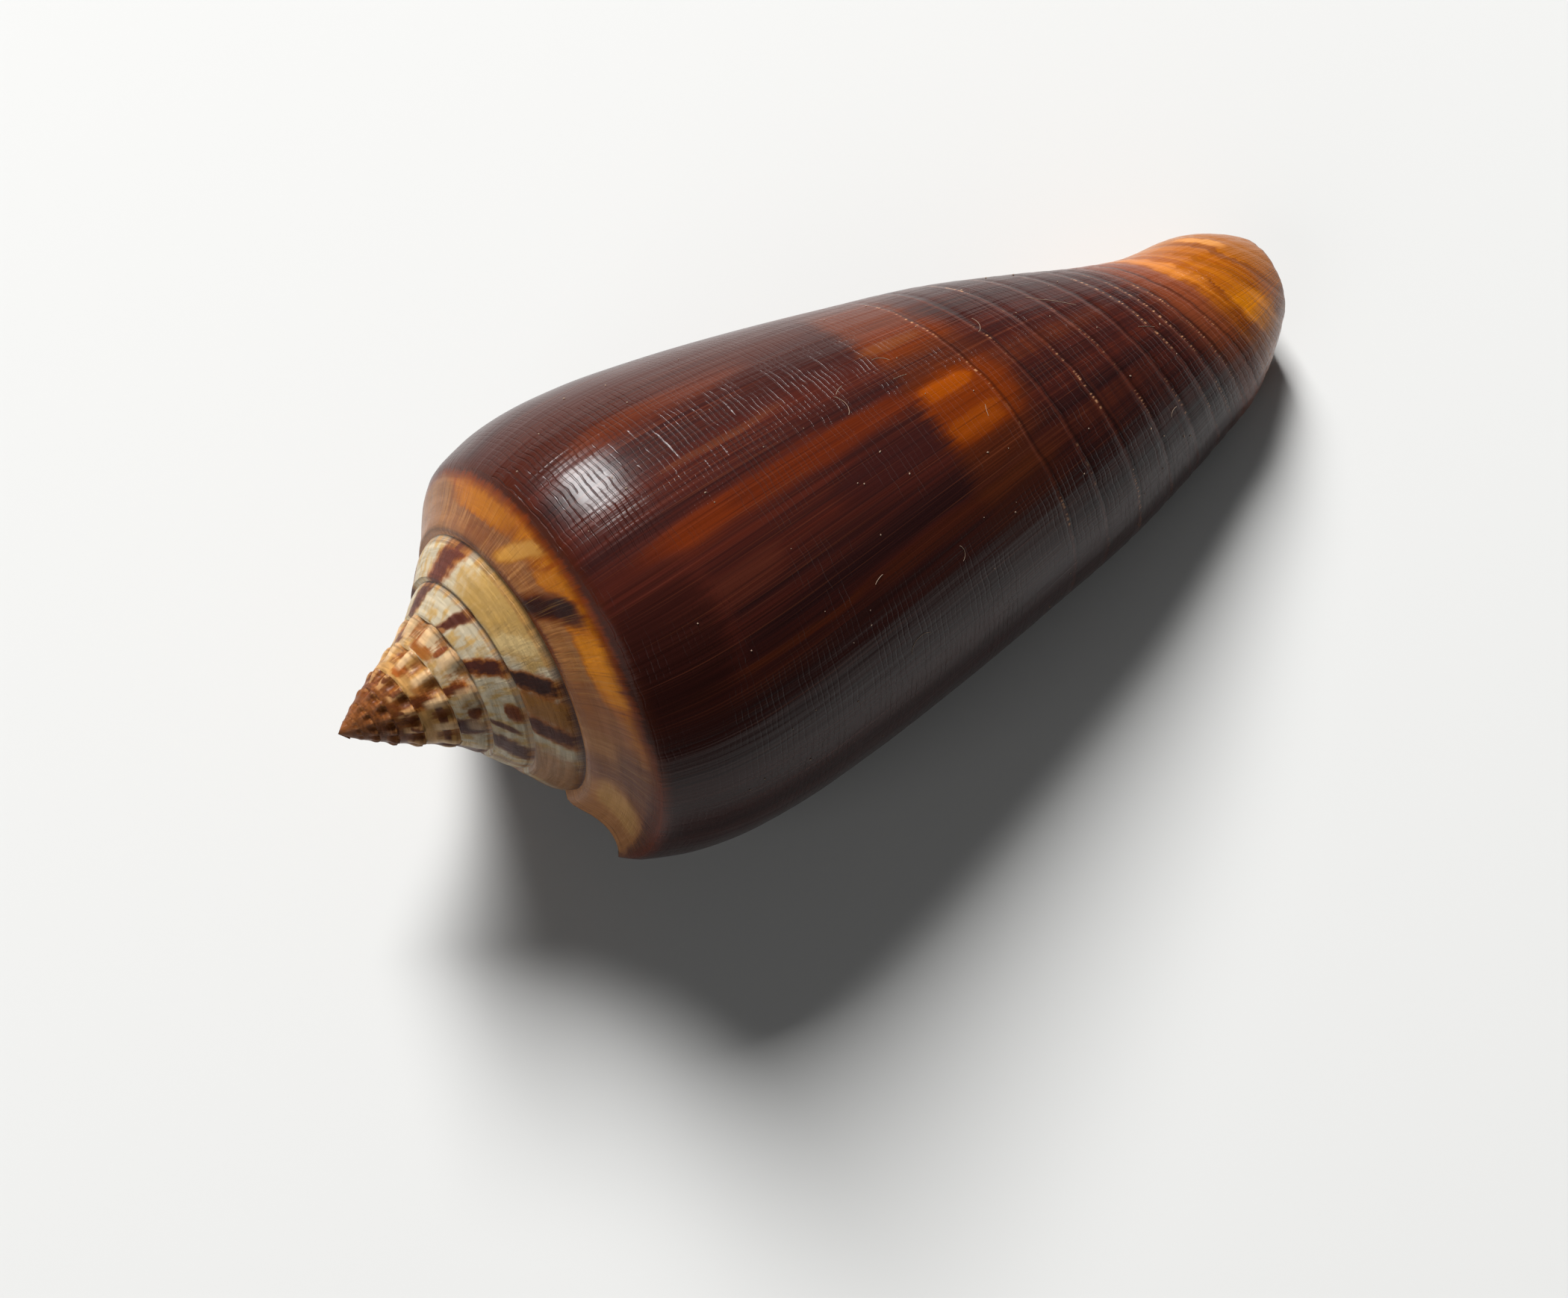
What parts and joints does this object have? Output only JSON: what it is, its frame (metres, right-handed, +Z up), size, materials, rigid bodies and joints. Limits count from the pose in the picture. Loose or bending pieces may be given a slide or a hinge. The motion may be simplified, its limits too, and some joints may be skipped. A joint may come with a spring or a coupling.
{
  "type": "cone shell",
  "caption": "Spindle-tipped cone shell with a stepped pointed spire, rounded shoulder, grooved front end and a slit aperture, lying on its aperture side.",
  "frame": {"origin": "bottom centre of the whole shell's bounding box, on the surface that it lies on", "axes": "+Z up; +X along the shell in plan, from the spire's tip towards the grooved front end; +Y away from the lip"},
  "size_m": [0.0492, 0.0206, 0.0184],
  "materials": {
    "shell": "glossy brown shell with amber and cream markings"
  },
  "bodies": {
    "root": {"shell": "shell"}
  },
  "joints": []
}
